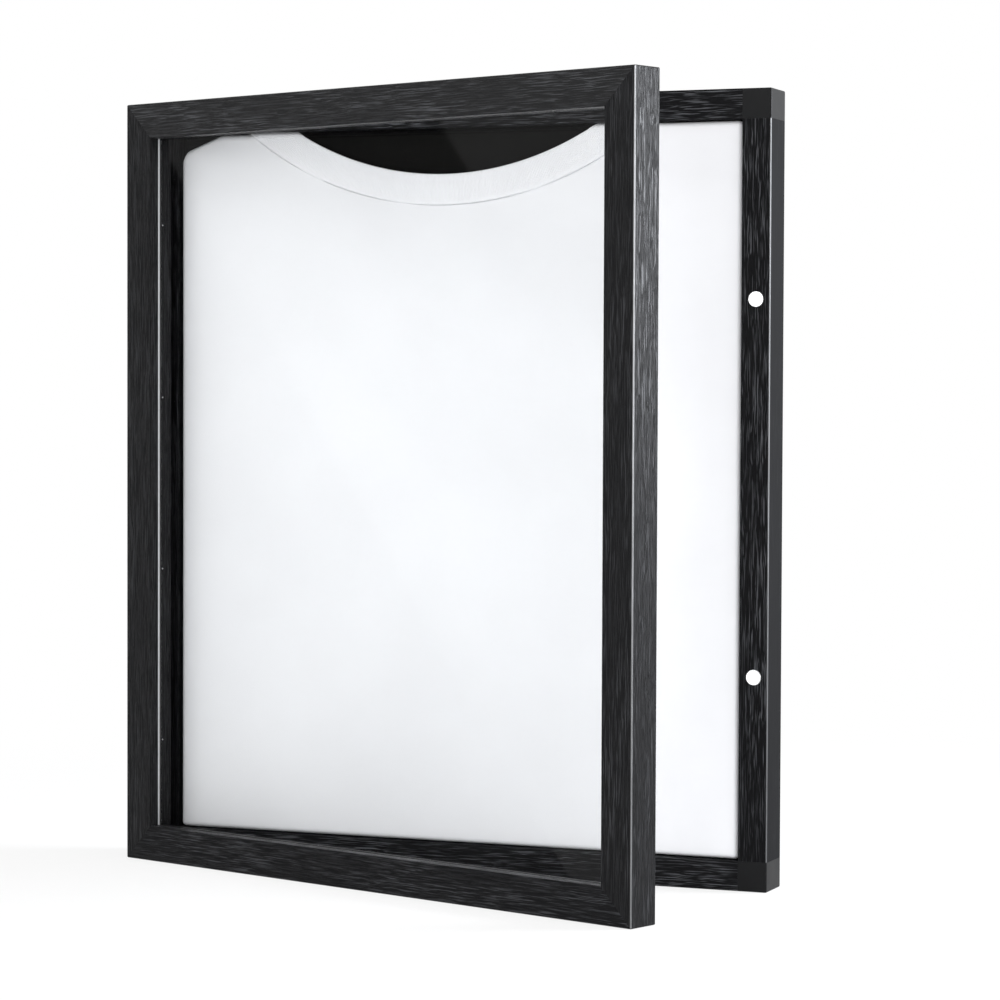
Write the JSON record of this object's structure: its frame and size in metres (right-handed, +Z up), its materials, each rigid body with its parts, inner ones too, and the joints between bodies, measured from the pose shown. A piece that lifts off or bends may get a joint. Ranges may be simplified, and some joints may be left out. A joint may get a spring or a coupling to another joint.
{
  "type": "jersey display frame",
  "caption": "Black wood-grain wall case with a clear-glazed, magnet-held door on side hinges, standing ajar, and a plain white shirt folded over a board inside.",
  "frame": {"origin": "centre of the case's flat back, where it rests against the wall", "axes": "+X to the viewer's right, +Y into the wall, +Z up"},
  "size_m": [0.5348, 0.2322, 0.61],
  "materials": {
    "black_oak_moulding": "black foil embossed with fine oak grain, satin",
    "corner_plastic": "smooth moulded black, satin",
    "bead_plastic": "smooth black",
    "hardboard_back": "black painted hardboard, faint fibre",
    "black_lining": "black felt",
    "black_board": "black paper-faced foam board",
    "white_jersey_knit": "white cotton jersey, fine knit",
    "white_rib_knit": "white cotton rib",
    "clear_acrylic": "clear, polished, 2 mm",
    "seal_foam": "pale closed-cell foam strip",
    "plated_magnet": "nickel plated",
    "hinge_steel": "black painted steel",
    "hanger_steel": "zinc plated",
    "fastener_steel": "zinc plated"
  },
  "bodies": {
    "case": {"case_rail_top": "black_oak_moulding", "case_rail_bottom": "black_oak_moulding", "case_rail_left": "black_oak_moulding", "case_rail_right": "black_oak_moulding", "case_corner_top_left": "corner_plastic", "case_corner_top_right": "corner_plastic", "case_corner_bottom_left": "corner_plastic", "case_corner_bottom_right": "corner_plastic", "back_panel": "hardboard_back", "back_panel_screws": "fastener_steel", "backing_lining": "black_lining", "display_board": "black_board", "shirt_front": "white_jersey_knit", "shirt_collar": "white_rib_knit", "shirt_folded_back": "white_jersey_knit", "case_magnets": "plated_magnet", "keyhole_plates": "hanger_steel", "keyhole_screws": "fastener_steel", "hinge_case_leaves": "hinge_steel", "hinge_case_screws": "hinge_steel", "hinge_pins": "hinge_steel"},
    "door": {"door_rail_top": "black_oak_moulding", "door_rail_bottom": "black_oak_moulding", "door_stile_left": "black_oak_moulding", "door_stile_right": "black_oak_moulding", "acrylic_sheet": "clear_acrylic", "glazing_seal": "seal_foam", "bead_top": "bead_plastic", "bead_bottom": "bead_plastic", "bead_left": "bead_plastic", "bead_right": "bead_plastic", "bead_brads": "fastener_steel", "mitre_nails": "fastener_steel", "door_magnets": "plated_magnet", "hinge_door_leaves": "hinge_steel", "hinge_door_screws": "hinge_steel"}
  },
  "joints": [
    {"name": "door_hinge", "type": "hinge", "parent": "case", "child": "door", "pos_m": [-0.2652, -0.0343, 0], "axis": [0, 0, -1], "range_deg": [-19, 161]}
  ]
}
